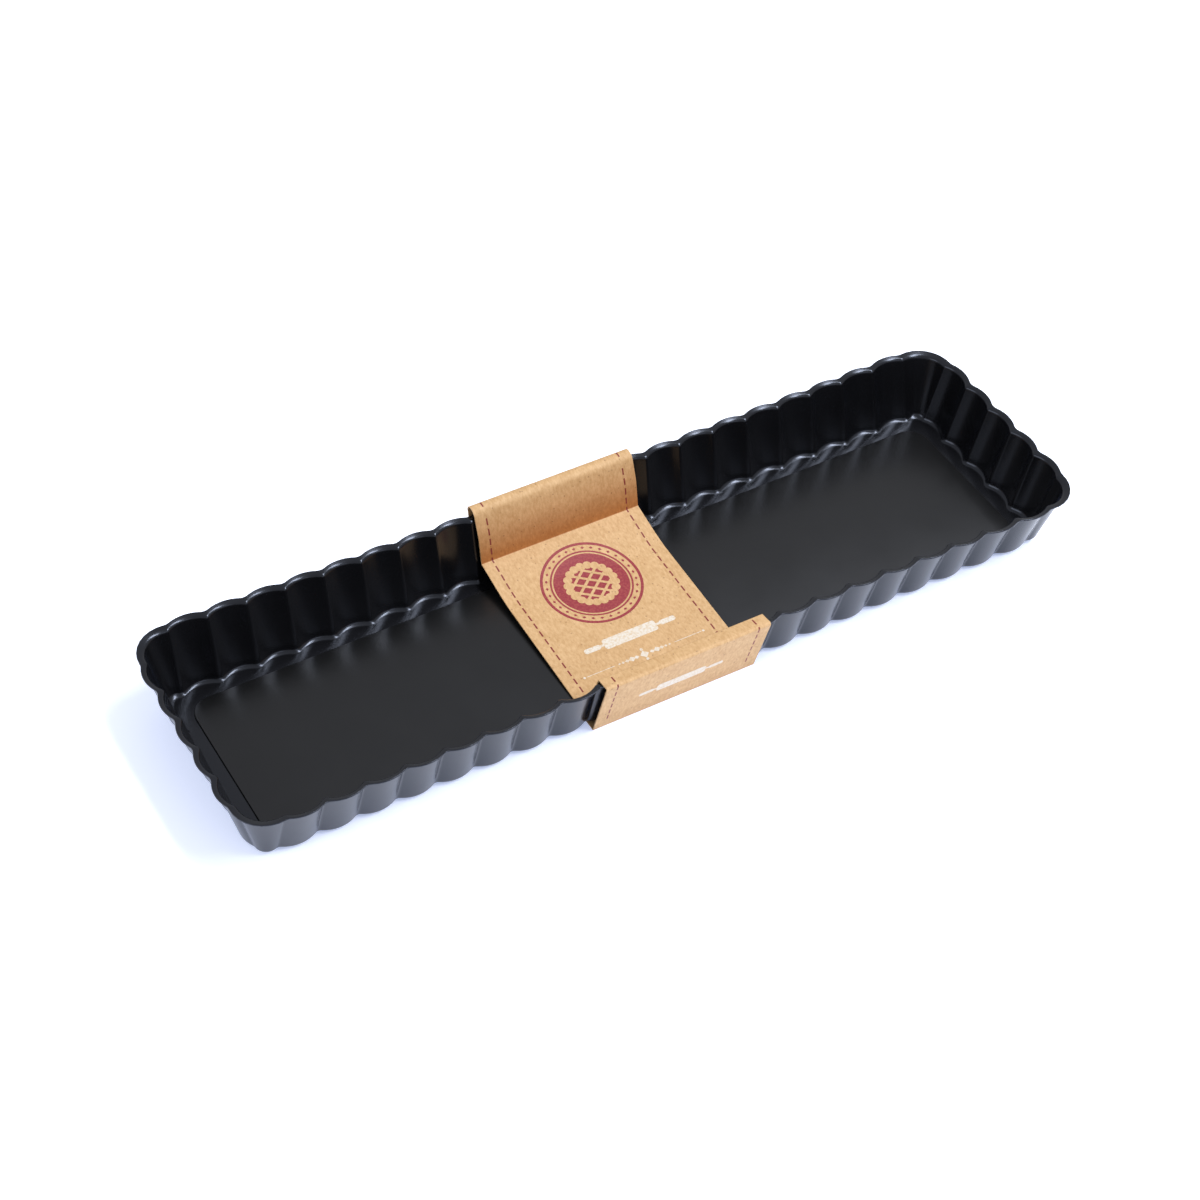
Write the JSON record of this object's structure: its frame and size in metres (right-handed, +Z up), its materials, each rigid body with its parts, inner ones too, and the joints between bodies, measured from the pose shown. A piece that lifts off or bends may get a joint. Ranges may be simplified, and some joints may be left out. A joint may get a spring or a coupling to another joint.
{
  "type": "tart pan",
  "caption": "Long rectangular fluted tart pan with a turned-out lip and a loose flat base on an inward ledge, held in a folded kraft card sleeve.",
  "frame": {"origin": "centre of the bounding box's underside, which is the surface that the sleeved tin stands on", "axes": "+X along the tin, +Y towards the rear wall that the sleeve's rounded bend goes over, +Z up"},
  "size_m": [0.3484, 0.1028, 0.0314],
  "materials": {
    "nonstick_steel": "dark non-stick coating, semi-gloss",
    "nonstick_plate": "dark non-stick coating, satin",
    "kraft_card": "uncoated brown kraft card",
    "glue": "dried white glue"
  },
  "bodies": {
    "ring": {"fluted_ring": "nonstick_steel"},
    "base": {"loose_base": "nonstick_plate"},
    "sleeve": {"card_sleeve": "kraft_card", "sleeve_glue": "glue"}
  },
  "joints": [
    {"name": "base_lift", "type": "slide", "parent": "ring", "child": "base", "axis": [0, 0, 1], "range_m": [0, 0.02], "deforming": ["card_sleeve"]},
    {"name": "sleeve_slide", "type": "slide", "parent": "ring", "child": "sleeve", "axis": [1, 0, 0], "range_m": [-0.035, 0.035]}
  ]
}
